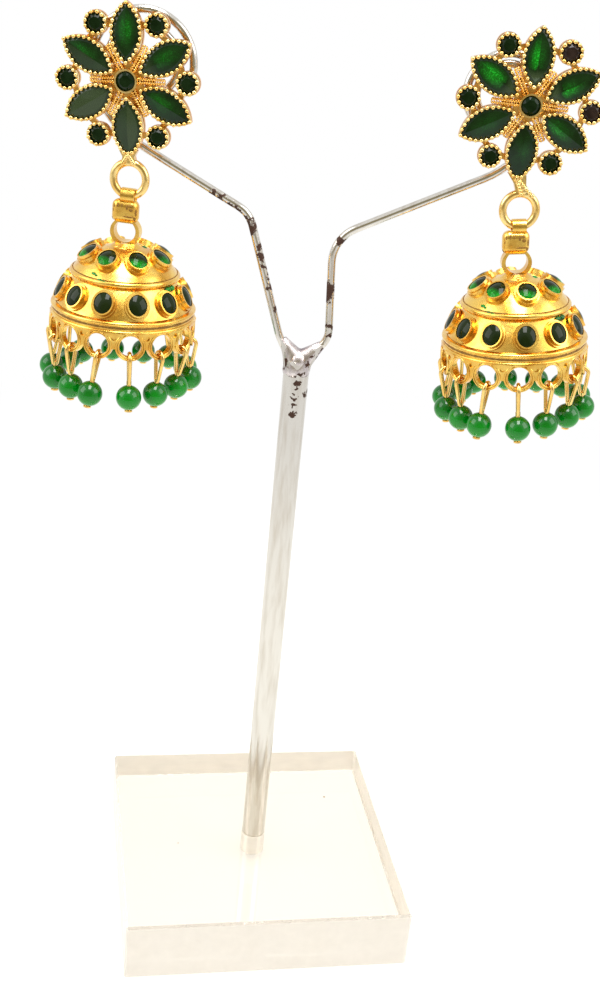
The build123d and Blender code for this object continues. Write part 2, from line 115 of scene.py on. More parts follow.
def add_node(tree: NodeTree, kind: str, sockets: dict[str | int, Any] | None = None,
             **settings: Any) -> Node:
    """Adds a node with its settings and links.

    Args:
        tree: The tree that the node goes into.
        kind: Blender's name of the node type.
        sockets: Input name or number to a value, or to the output socket that feeds it.
        settings: Properties of the node.

    Returns:
        The new node.
    """
    made = tree.nodes.new(kind)
    for name, value in settings.items():
        setattr(made, name, value)
    for key, value in (sockets or {}).items():
        if isinstance(value, NodeSocket):
            tree.links.new(value, made.inputs[key])
        else:
            made.inputs[key].default_value = value
    return made


def noise(tree: NodeTree, where: NodeSocket, grain_mm: float, detail: float,
          rough: float = 0.5) -> NodeSocket:
    """Soft noise whose lumps are about grain_mm wide."""
    return add_node(tree, "ShaderNodeTexNoise", {
        "Vector": where, "Scale": 1 / (grain_mm * MM), "Detail": detail, "Roughness": rough}).outputs[0]


def ramp(tree: NodeTree, value: Any, low: float = 0.0, high: float = 1.0, at_low: float = 0.0,
         at_high: float = 1.0, smooth: bool = False) -> NodeSocket:
    """Runs from at_low to at_high while the value goes from low to high, and is level outside that."""
    kind = "SMOOTHSTEP" if smooth else "LINEAR"
    return add_node(tree, "ShaderNodeMapRange", {0: value, 1: low, 2: high, 3: at_low, 4: at_high},
                    interpolation_type=kind).outputs[0]


def maths(tree: NodeTree, operation: str, *values: Any) -> NodeSocket:
    """One operation on one or two numbers."""
    return add_node(tree, "ShaderNodeMath", dict(enumerate(values)), operation=operation).outputs[0]


def blend(tree: NodeTree, share: Any, first: Any, second: Any) -> NodeSocket:
    """Blend of two colours, each a hex code or a socket."""
    first, second = (linear(c) if isinstance(c, str) else c for c in (first, second))
    return add_node(tree, "ShaderNodeMix", {0: share, 6: first, 7: second}, data_type="RGBA").outputs[2]


def bump(tree: NodeTree, height: Any, depth_mm: float, normal: Any = None) -> NodeSocket:
    """Relief depth_mm deep, on top of another relief if there is one."""
    under = {} if normal is None else {"Normal": normal}
    return add_node(tree, "ShaderNodeBump", {
        "Strength": 1.0, "Distance": depth_mm * MM, "Height": height} | under).outputs[0]


def patches(tree: NodeTree, where: NodeSocket, rows: Iterable[Row], inner: float,
            outer: float) -> NodeSocket:
    """Finds round patches: 1 in the middle of each and 0 outside them all.

    Args:
        tree: The tree.
        where: Coordinates, in metres.
        rows: Middle (x, y, z) and size of each patch, in millimetres.
        inner: Share of a patch's size at which it starts to fade.
        outer: Share of its size at which it has gone.

    Returns:
        The socket that says it.
    """
    found: Any = 0.0
    for *spot, size in rows:
        away = add_node(tree, "ShaderNodeVectorMath", {
            0: where, 1: [c * MM for c in spot]}, operation="DISTANCE").outputs["Value"]
        near = ramp(tree, away, inner * size * MM, outer * size * MM, 1.0, 0.0)
        found = maths(tree, "MAXIMUM", near, found)
    return found


def mix_shaders(tree: NodeTree, share: Any, first: Any, second: Any) -> NodeSocket:
    """Mix of two shaders."""
    return add_node(tree, "ShaderNodeMixShader", {0: share, 1: first, 2: second}).outputs[0]


def new_material(name: str) -> tuple[Material, NodeTree, NodeSocket]:
    """Starts a material.

    Args:
        name: The material's name.

    Returns:
        The material, its tree, and the coordinates in the object's own frame, in metres.
    """
    made = bpy.data.materials.new(name)
    made.use_nodes = True
    made.node_tree.nodes.clear()
    return made, made.node_tree, add_node(made.node_tree, "ShaderNodeTexCoord").outputs["Object"]


def close(made: Material, shader: NodeSocket) -> Material:
    """Ends a material with a shader's socket."""
    add_node(made.node_tree, "ShaderNodeOutputMaterial", {0: shader})
    return made


def glossy(made: Material, sockets: dict[str, Any]) -> Material:
    """Ends a material with one principled shader."""
    return close(made, add_node(made.node_tree, "ShaderNodeBsdfPrincipled", sockets).outputs[0])


def place_at(*shift: float) -> Matrix:
    """Shift in millimetres."""
    return Matrix.Translation(shift)


def turned(axis: str, degrees: float) -> Matrix:
    """Turn about X, Y or Z."""
    return Matrix.Rotation(math.radians(degrees), 4, axis)


def dress(piece: Object, finish: Material) -> None:
    """Gives every face of a piece one finish."""
    piece.data.materials.clear()
    piece.data.materials.append(finish)


def new_object(name: str, data: Any) -> Object:
    """Adds an object to the scene.

    Args:
        name: Its name.
        data: Its mesh, light or camera.

    Returns:
        The object.
    """
    made = bpy.data.objects.new(name, data)
    bpy.context.scene.collection.objects.link(made)
    return made


class Piece:
    """A mesh that is built up in millimetres and becomes one object."""

    def __init__(self) -> None:
        """Starts with no points."""
        self.points: list[Vector] = []
        self.faces: list[list[int]] = []
        self.tone: list[float] = []

    def add(self, points: Iterable[Vector], faces: Iterable[Iterable[int]], place: Matrix | None = None,
            tone: Iterable[float] | float = 0.0) -> None:
        """Adds a patch of mesh.

        Args:
            points: Corners in millimetres.
            faces: Corner numbers of each face.
            place: Where the patch goes.
            tone: One number for each point, or one for all, kept in the attribute "tone".
        """
        first = len(self.points)
        corners = [place @ Vector(p) if place else Vector(p) for p in points]
        self.points += corners
        self.faces += [[first + i for i in face] for face in faces]
        self.tone += [float(tone)] * len(corners) if isinstance(tone, (int, float)) else list(tone)

    def ball(self, place: Matrix, *half_sizes: float) -> None:
        """Adds a stretched ball, with its half sizes along x, y and z of its place."""
        self.add(*ball_mesh(), place @ Matrix.Diagonal((*half_sizes, 1.0)))

    def finish(self, name: str, finish: Material, slot: Slot, body: str, sharp: float = SMOOTH,
               replaced: Iterable[str] = ()) -> None:
        """Makes the object.

        Args:
            name: The piece's name.
            finish: Its material.
            slot: The record's slot of the piece; not used.
            body: The CAD body it rides on.
            sharp: Edges that bend more than this many degrees stay sharp.
            replaced: CAD nodes that it stands for.
        """
        mesh = bpy.data.meshes.new(name)
        mesh.from_pydata([p * MM for p in self.points], [], self.faces)
        mesh.attributes.new("tone", "FLOAT", "POINT").data.foreach_set("value", self.tone)
        mesh.shade_smooth()
        mesh.set_sharp_from_angle(angle=math.radians(sharp))
        made = new_object(name, mesh)
        dress(made, finish)
        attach(made, body)
        if replaced:
            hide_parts(*replaced)


def tube_faces(rings: int, around: int, closed: bool = False) -> list[list[int]]:
    """Faces of a skin over rings of points.

    Args:
        rings: How many rings.
        around: Points in each ring.
        closed: Whether the last ring joins the first. If not, both ends are filled.

    Returns:
        Corner numbers of each face.
    """
    faces = []
    for i in range(rings if closed else rings - 1):
        a, b = i * around, (i + 1) % rings * around
        faces += [[a + j, a + (j + 1) % around, b + (j + 1) % around, b + j] for j in range(around)]
    if not closed:
        faces.append(list(range(around))[::-1])
        faces.append([(rings - 1) * around + j for j in range(around)])
    return faces


def hoop(radius: float, height: float, sizes: list[Row], steps: int) -> tuple[list[Vector], list[list[int]]]:
    """Hoop of oval section, level, round z.

    Args:
        radius: Radius of its middle line.
        height: Height of its middle line.
        sizes: Half sizes of its section, out and up, at each place round it.
        steps: Points round each section.

    Returns:
        Its corners and faces.
    """
    points, around = [], len(sizes)
    for step in range(steps):
        turn = math.tau * step / steps
        for i, (out, up) in enumerate(sizes):
            angle = math.tau * i / around
            reach = radius + out * math.cos(turn)
            points.append(Vector((reach * math.sin(angle), -reach * math.cos(angle),
                                  height + up * math.sin(turn))))
    return points, tube_faces(steps, around, closed=True)


@functools.cache
def ball_mesh() -> tuple[list[Vector], list[list[int]]]:
    """Makes a ball of radius 1, once for all pieces.

    Returns:
        Its corners and faces.
    """
    ball = bmesh.new()
    bmesh.ops.create_icosphere(ball, subdivisions=3, radius=1.0)
    corners = [v.co.copy() for v in ball.verts]
    faces = [[v.index for v in f.verts] for f in ball.faces]
    ball.free()
    return corners, faces


def islands(node: Object) -> list[list[Vector]]:
    """Finds the loose solids of a node, in the order of its corners.

    Args:
        node: A CAD node.

    Returns:
        The corners of each solid, in millimetres.
    """
    mesh = bmesh.new()
    mesh.from_mesh(node.data)
    bmesh.ops.remove_doubles(mesh, verts=mesh.verts, dist=1e-6)
    left, found = set(mesh.verts), []
    for first in mesh.verts:
        if first not in left:
            continue
        left.remove(first)
        front, group = [first], []
        while front:
            corner = front.pop()
            group.append(corner.co / MM)
            near = [v for v in (e.other_vert(corner) for e in corner.link_edges) if v in left]
            left.difference_update(near)
            front += near
        found.append(group)
    mesh.free()
    return found


def middle(node: str) -> Vector:
    """Middle of a CAD node's box, in millimetres."""
    low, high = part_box(node)
    return (low + high) / 2 / MM


# ---- Finishes ----------------------------------------------------------------------------------


@dataclass(frozen=True)
class GoldPlate:
    """Yellow gold-tone plate on cast brass.

    The casting keeps a fine pitted skin and slow waves from its wax, which break the reflections into
    grains of light. The plate is thinner and redder in places; an orange shade is painted into the recesses.
    """

    name: str
    body: str = "F9DC94"
    thin: str = "E8BC60"
    roughness: float = 0.2
    rough_spread: float = 0.12
    pit_mm: float = 0.3
    pit_depth_mm: float = 0.012
    wave_mm: float = 1.5
    wave_depth_mm: float = 0.05
    cloud_mm: float = 3.0
    lacquer: float = 0.35
    # colour of the painted shade in the recesses
    recess_shade: str = "E09A38"
    recess_shade_out: tuple[float, float, float] | None = None    # way out of the recesses
    recess_shade_from: float = 0.0                # millimetres along that way where the painted shade is deepest
    recess_shade_to: float = 1.0

    def build(self) -> Material:
        """Makes the material.

        Returns:
            The material.
        """
        made, tree, spot = new_material(self.name)
        cloud = noise(tree, spot, self.cloud_mm, 3.0)
        pits = noise(tree, spot, self.pit_mm, 4.0, 0.62)
        waves = noise(tree, spot, self.wave_mm, 1.0)
        colour = blend(tree, ramp(tree, cloud, 0.38, 0.66), self.body, self.thin)
        if self.recess_shade_out:
            level = add_node(tree, "ShaderNodeVectorMath", {
                0: spot, 1: self.recess_shade_out}, operation="DOT_PRODUCT").outputs["Value"]
            # painted shade: the lowest parts along the way out of the recesses take the orange shade colour
            shaded = ramp(tree, level, self.recess_shade_to * MM, self.recess_shade_from * MM)
            colour = blend(tree, shaded, colour, self.recess_shade)
        rough = ramp(tree, pits, 0.35, 0.7, self.roughness, self.roughness + self.rough_spread)
        wavy = bump(tree, waves, self.wave_depth_mm)
        pitted = bump(tree, pits, self.pit_depth_mm, wavy)
        return glossy(made, {
            "Base Color": colour, "Metallic": 1.0, "Roughness": rough, "Normal": pitted,
            "Coat Weight": self.lacquer, "Coat Roughness": 0.12})


@dataclass(frozen=True)
class PlatedSteel:
    """Drawn steel wire with a bright nickel plate, worn and spotted with rust.

    The draw marks run as faint soft streaks, and the plate is mirror-like between them. Where it has
    broken, the rust is matt and dark brown.
    """

    name: str = "nickel_plated_steel_wire"
    body: str = "D6D2CA"
    dull: str = "C8C1B6"
    rust: str = "3E2415"
    roughness: float = 0.16
    streak_mm: float = 0.9
    scratch_mm: float = 0.25
    scratch_depth_mm: float = 0.006
    ragged_mm: float = 1.1                  # grain of the rust patches' edges, and how far they are pushed
    push_mm: float = 3.2
    rust_rough: float = 0.75
    rust_metal: float = 0.15
    # Rust where the plate has gone: x, z and size of each patch.
    spots: tuple[Row, ...] = (
        (-16.6, 139.7, 0.7), (-15.2, 139.1, 0.8), (-13.8, 138.2, 0.9),
        (-12.5, 137.4, 0.9), (-11.2, 136.3, 0.9), (-9.9, 135.2, 1.1),
        (5.4, 134.4, 0.6), (3.9, 126.0, 1.2), (4.0, 124.8, 1.2),
        (-7.9, 132.0, 0.6), (-7.3, 130.4, 0.5), (-6.7, 128.6, 0.5),
        (-6.2, 126.8, 0.5), (-5.6, 125.0, 0.5), (-4.6, 121.6, 0.4),
        (5.2, 119.4, 0.5), (5.4, 117.9, 0.5), (2.1, 107.0, 0.5),
        (0.3, 109.0, 0.5), (0.2, 107.9, 0.4), (0.0, 106.3, 0.4),
        (-0.1, 105.0, 0.3), (0.0, 103.4, 0.6))

    def build(self) -> Material:
        """Makes the material.

        Returns:
            The material.
        """
        made, tree, spot = new_material(self.name)
        long = add_node(tree, "ShaderNodeMapping", {
            "Vector": spot, "Scale": (1.0, 1.0, 0.12)}).outputs[0]
        ragged = add_node(tree, "ShaderNodeTexNoise", {
            "Vector": spot, "Scale": 1 / (self.ragged_mm * MM), "Detail": 3.0}).outputs["Color"]
        pushed = add_node(tree, "ShaderNodeVectorMath", {
            0: ragged, 1: (self.push_mm * MM,) * 3, 2: spot}, operation="MULTIPLY_ADD").outputs[0]
        flat = add_node(tree, "ShaderNodeMapping", {
            "Vector": pushed, "Scale": (1.0, 0.0, 1.0),
            "Location": (-0.5 * self.push_mm * MM, 0.0, -0.5 * self.push_mm * MM)}).outputs[0]
        streaks = noise(tree, long, self.streak_mm, 3.0)
        fine = noise(tree, spot, self.scratch_mm, 3.0)
        reach = patches(tree, flat, [(x, 0.0, z, size) for x, z, size in self.spots], 0.5, 1.6)
        broken = maths(tree, "MULTIPLY", reach, fine)
        rusty = ramp(tree, broken, 0.17, 0.27)
        plate = blend(tree, ramp(tree, streaks, 0.42, 0.7), self.body, self.dull)
        colour = blend(tree, rusty, plate, self.rust)
        rough = ramp(tree, rusty, 0.0, 1.0, self.roughness, self.rust_rough)
        metal = ramp(tree, rusty, 0.0, 1.0, 1.0, self.rust_metal)
        relief = bump(tree, fine, self.scratch_depth_mm)
        return glossy(made, {
            "Base Color": colour, "Metallic": metal, "Roughness": rough, "Normal": relief})


@dataclass(frozen=True)
class FoiledGlass:
    """Dark green glass stone, polished, cemented over crumpled foil.

    The eye sees a nearly black green. Painted light lies on it through the attribute tone: above 0 a
    painted glint of the lit foil in bright green specks, below 0 a painted olive grey reflection, and
    below -1 a paler painted sheen.
    """

    name: str
    glass: str = "041C03"
    cloud: str = "0C280A"
    # colours of the painted glint of the lit foil
    foil: str = "028A10"
    spark: str = "22B02E"
    # colours of the painted olive grey reflection and of the paler painted sheen
    reflected_grey: str = "36442A"
    sheen: str = "93A595"
    speck_mm: float = 0.17
    cloud_mm: float = 1.6
    roughness: float = 0.08
    mirror: float = 0.3

    def build(self) -> Material:
        """Makes the material.

        Returns:
            The material.
        """
        made, tree, spot = new_material(self.name)
        tone = add_node(tree, "ShaderNodeAttribute", attribute_name="tone").outputs["Fac"]
        cells = add_node(tree, "ShaderNodeTexVoronoi", {
            "Vector": spot, "Scale": 1 / (self.speck_mm * MM)}).outputs["Color"]
        speck = add_node(tree, "ShaderNodeSeparateColor", {0: cells}).outputs[0]
        cloud = noise(tree, spot, self.cloud_mm, 2.0)
        patchy = ramp(tree, cloud, 0.36, 0.62, 0.1)
        crumpled = blend(tree, ramp(tree, speck, 0.62, 0.97), self.foil, self.spark)
        # painted light: tone above 0 paints the foil's glint, below 0 an olive grey reflection, below -1 a
        # pale sheen
        foil_glint = maths(tree, "MULTIPLY", ramp(tree, tone), ramp(tree, speck, 0.0, 1.0, 0.55))
        reflected_sheen = ramp(tree, tone, 0.0, -1.0)
        clear = blend(tree, patchy, self.glass, self.cloud)
        with_grey_reflection = blend(tree, reflected_sheen, clear, self.reflected_grey)
        pale = ramp(tree, tone, -1.0, -2.0)
        dull = blend(tree, pale, with_grey_reflection, self.sheen)
        colour = blend(tree, foil_glint, dull, crumpled)
        return glossy(made, {
            "Base Color": colour, "Roughness": self.roughness, "IOR": 1.52,
            "Specular IOR Level": self.mirror})


@dataclass(frozen=True)
class BeadGlass:
    """Pressed green glass bead, fire-polished, slightly milky.

    Its lower half gets a painted glow and its upper half a painted shade, for the light that comes
    through from the white table.
    The skin keeps sharp small highlights.
    """

    name: str = "pressed_green_glass"
    body: str = "018C18"
    # colour of the painted shade on the upper half
    shaded: str = "01580E"
    swirl_mm: float = 5.0
    dimple_mm: float = 1.2
    dimple_depth_mm: float = 0.008
    roughness: float = 0.1

    def build(self) -> Material:
        """Makes the material.

        Returns:
            The material.
        """
        made, tree, spot = new_material(self.name)
        swirl = noise(tree, spot, self.swirl_mm, 1.0)
        dimples = noise(tree, spot, self.dimple_mm, 1.0)
        # painted light: lighter where the skin faces down, darker where it faces up, varied at random by the
        # swirl
        facing_up = add_node(tree, "ShaderNodeSeparateXYZ", {
            0: add_node(tree, "ShaderNodeTexCoord").outputs["Normal"]}).outputs[2]
        shade = ramp(tree, facing_up, -0.55, 0.75)
        shade_and_swirl = maths(tree, "ADD", shade, ramp(tree, swirl, 0.35, 0.65, -0.15, 0.25))
        colour = blend(tree, shade_and_swirl, self.body, self.shaded)
        relief = bump(tree, dimples, self.dimple_depth_mm)
        return glossy(made, {
            "Base Color": colour, "Roughness": self.roughness, "IOR": 1.52, "Normal": relief,
            "Specular IOR Level": 0.42})


@dataclass(frozen=True)
class CastAcrylic:
    """Clear cast acrylic, polished on its flat faces and left sawn and frosted on its four sides.

    The top shows the table and the frosted sides through it, a little warm. The sides are milky and
    hide what is behind them.
    """

    name: str = "cast_acrylic_sawn_sides"
    tint: str = "F8F4ED"
    frost: str = "DFD9D0"
    dirt: str = "9A7B4A"
    cloud_mm: float = 7.0
    roughness: float = 0.02
    sawn_roughness: float = 0.45
    milky: float = 0.82                     # share of a sawn side that is frosted, and how far it varies
    milky_spread: float = 0.08
    # Chips and grains of dirt: x, y, z and size.
    specks: tuple[Row, ...] = ((18.3, -26.6, 4.7, 0.45), (17.7, -26.7, 4.4, 0.35),
                               (14.2, 13.3, 12.0, 0.28), (-14.6, -6.5, 12.0, 0.16))

    def build(self) -> Material:
        """Makes the material.

        Returns:
            The material.
        """
        made, tree, spot = new_material(self.name)
        upright = add_node(tree, "ShaderNodeSeparateXYZ", {
            0: add_node(tree, "ShaderNodeTexCoord").outputs["Normal"]}).outputs[2]
        level = maths(tree, "ABSOLUTE", upright)
        sawn = ramp(tree, level, 0.4, 0.9, 1.0, 0.0)
        dirty = patches(tree, spot, self.specks, 0.6, 1.0)
        cloud = noise(tree, spot, self.cloud_mm, 4.0)
        clear = add_node(tree, "ShaderNodeBsdfPrincipled", {
            "Base Color": linear(self.tint), "Roughness": self.roughness, "IOR": 1.49,
            "Transmission Weight": 1.0})
        frosted = add_node(tree, "ShaderNodeBsdfPrincipled", {
            "Base Color": blend(tree, dirty, self.frost, self.dirt),
            "Roughness": self.sawn_roughness, "IOR": 1.49})
        low, high = self.milky - self.milky_spread, self.milky + self.milky_spread
        matt = maths(tree, "MULTIPLY", sawn, ramp(tree, cloud, 0.3, 0.7, low, high))
        share = maths(tree, "MAXIMUM", matt, dirty)
        body = mix_shaders(tree, share, clear.outputs[0], frosted.outputs[0])
        light = add_node(tree, "ShaderNodeLightPath")
        passing = maths(tree, "MAXIMUM", light.outputs["Is Shadow Ray"], light.outputs["Is Diffuse Ray"])
        through = add_node(tree, "ShaderNodeBsdfTransparent", {0: linear(self.tint)}).outputs[0]
        mixed = mix_shaders(tree, passing, body, through)
        return close(made, mixed)


@dataclass(frozen=True)
class Crust:
    """Matt grainy stuff in two close colours: epoxy cement, or the scale that soldering leaves.

    It has no shine, so the eye sees it as flat white or flat brown beside the plated metal. In the
    bell's grooves it is painted shade.
    """

    name: str
    body: str
    light: str
    grain_mm: float = 0.3
    metal: float = 0.3
    roughness: float = 0.6

    def build(self) -> Material:
        """Makes the material.

        Returns:
            The material.
        """
        made, tree, spot = new_material(self.name)
        colour = blend(tree, noise(tree, spot, self.grain_mm, 3.0), self.body, self.light)
        return glossy(made, {"Base Color": colour, "Metallic": self.metal, "Roughness": self.roughness})


class Finishes:
    """The finishes of the whole object, each made once."""

    def __init__(self) -> None:
        """Makes every finish."""
        self.acrylic = CastAcrylic().build()
        self.cement = Crust("white_epoxy_cement", "F4EFE6", "DDD5C6", grain_mm=0.8, metal=0.0).build()
        self.steel = PlatedSteel().build()
        self.solder = PlatedSteel(
            "soft_solder", body="D2CAC8", dull="8C7E84", streak_mm=1.6, scratch_mm=0.6,
            scratch_depth_mm=0.02, roughness=0.34, spots=(
                (-2.1, 112.2, 0.6), (0.6, 110.6, 0.6), (1.9, 112.4, 0.5), (3.0, 114.0, 0.6),
                (4.1, 115.4, 0.5), (4.9, 116.6, 0.5))).build()
        self.polished_gold = GoldPlate("gold_plate_tumbled", pit_depth_mm=0.006, roughness=0.17).build()
        self.cast_gold = GoldPlate("gold_plate_as_cast", body="F3CA62", thin="DFA63C", pit_depth_mm=0.009,
                                   wave_depth_mm=0.035, roughness=0.2).build()
        self.gold_wire = GoldPlate("gold_plate_on_drawn_wire", body="F6D482", thin="E6B454",
                                   pit_depth_mm=0.003, wave_depth_mm=0.02, roughness=0.18).build()
        self.stone = FoiledGlass("foiled_green_glass").build()
        self.domed_stone = FoiledGlass("foiled_green_glass_domed", glass="0A1602", cloud="141F08",
                                       reflected_grey="2C3618", mirror=0.15).build()
        self.small_stone = FoiledGlass("foiled_green_glass_small", glass="061804", cloud="10220C",
                                       mirror=0.14).build()
        # small stones painted brown for a painted reflection of brownish surroundings
        self.brown_reflected_stone = FoiledGlass("foiled_green_glass_brown_reflection", glass="1C120E", cloud="2C211C",
                                       mirror=0.2).build()
        self.tarnish = Crust("solder_scale", "5A3A10", "A87A28").build()
        # dark lines of painted shade in the grooves and under the ledge's lip
        self.grime = Crust("painted_shade_in_grooves", "5A3A0E", "A87A2A").build()
        self.enamel = FoiledGlass("green_enamel_smear", glass="06400A", cloud="187A1C",
                                  roughness=0.2).build()
        self.bead = BeadGlass().build()


@dataclass
class Assembly:
    """What every sub-assembly is given: the CAD nodes and the finishes."""

    nodes: dict[str, Object]
    finishes: Finishes


# ---- Stand -------------------------------------------------------------------------------------


@dataclass
class Stand(Assembly):
    """Clear block, rod and forked arms."""

    rod_radius: float = 2.25
    socket_radius: float = 2.35
    cement_foot: float = 6.4
    cement_top: float = 11.9
    cement_sides: int = 48
    cement_gap: float = 0.01                # between the cement and the rod or the block
    # Solder that runs up each arm from the rod: x, height and radius along it.
    solder: tuple[tuple[Row, ...], ...] = (
        ((0.0, 110.2, 2.26), (-0.05, 111.2, 2.36), (-0.3, 112.3, 2.2), (-0.8, 113.3, 1.9),
         (-1.45, 114.2, 1.5), (-2.1, 115.2, 1.1), (-2.85, 116.3, 0.72)),
        ((0.0, 110.3, 2.26), (0.05, 111.2, 2.34), (0.4, 112.2, 2.2), (1.05, 113.1, 1.9),
         (1.85, 113.9, 1.5), (2.8, 114.8, 1.15), (3.9, 115.9, 0.74)))
    # The bulge in their middle: x and height, then half sizes across, through and up.
    solder_bulge: tuple[float, float, float, float, float] = (0.15, 112.8, 1.95, 2.3, 2.0)
    solder_around: int = 32
    solder_lumps: float = 0.05

    def build(self) -> None:
        """Dresses the stand and adds its cement and solder."""
        dress(self.nodes["stand_base"], self.finishes.acrylic)
        dress(self.nodes["stand_rod_and_arms"], self.finishes.steel)
        self.build_cement()
        self.build_solder()
        LOG.info("stand: block, rod and arms dressed, cement and solder added")

    def build_solder(self) -> None:
        """Makes the solder that fills the fork and runs up both arms."""
        runs = Piece()
        for k, run in enumerate(self.solder):
            spine = [Vector((x, 0, z)) for x, z, _ in run]
            points = []
            for i, (_, _, radius) in enumerate(run):
                ahead = (spine[min(i + 1, len(run) - 1)] - spine[max(i - 1, 0)]).normalized()
                aside = Vector((0, 1, 0)).cross(ahead)
                for j in range(self.solder_around):
                    angle = math.tau * j / self.solder_around
                    swell = math.sin(2 * angle + 1.7 * i + k) * math.sin(3 * angle - 1.1 * i)
                    way = aside * math.cos(angle) + Vector((0, math.sin(angle), 0))
                    points.append(spine[i] + way * radius * (1 + self.solder_lumps * swell))
            runs.add(points, tube_faces(len(run), self.solder_around))
        x, z, across, through, up = self.solder_bulge
        runs.ball(place_at(x, 0, z), across, through, up)
        runs.finish("fork_solder", self.finishes.solder, Slot.STEEL, ROOT_BODY)

    def build_cement(self) -> None:
        """Makes the sleeve of cement round the rod."""
        inner, outer = self.rod_radius + self.cement_gap, self.socket_radius - self.cement_gap
        rings = []
        for radius, z in ((inner, self.cement_foot), (outer, self.cement_foot), (outer, self.cement_top),
                          (inner, self.cement_top)):
            for i in range(self.cement_sides):
                angle = math.tau * i / self.cement_sides
                rings.append(Vector((radius * math.cos(angle), radius * math.sin(angle), z)))
        sleeve = Piece()
        sleeve.add(rings, tube_faces(4, self.cement_sides, closed=True))
        sleeve.finish("rod_cement", self.finishes.cement, Slot.ACRYLIC, ROOT_BODY, 35.0)


# ---- Flower ------------------------------------------------------------------------------------


@dataclass
class Earring(Assembly):
    """What both parts of one earring know: its side, and the hinge that the bell swings on."""

    side: Side
    joint: dict[str, Any]

    def label(self, name: str) -> str:
        """Name of one of this earring's pieces or bodies."""
        return f"{self.side.value}_{name}"


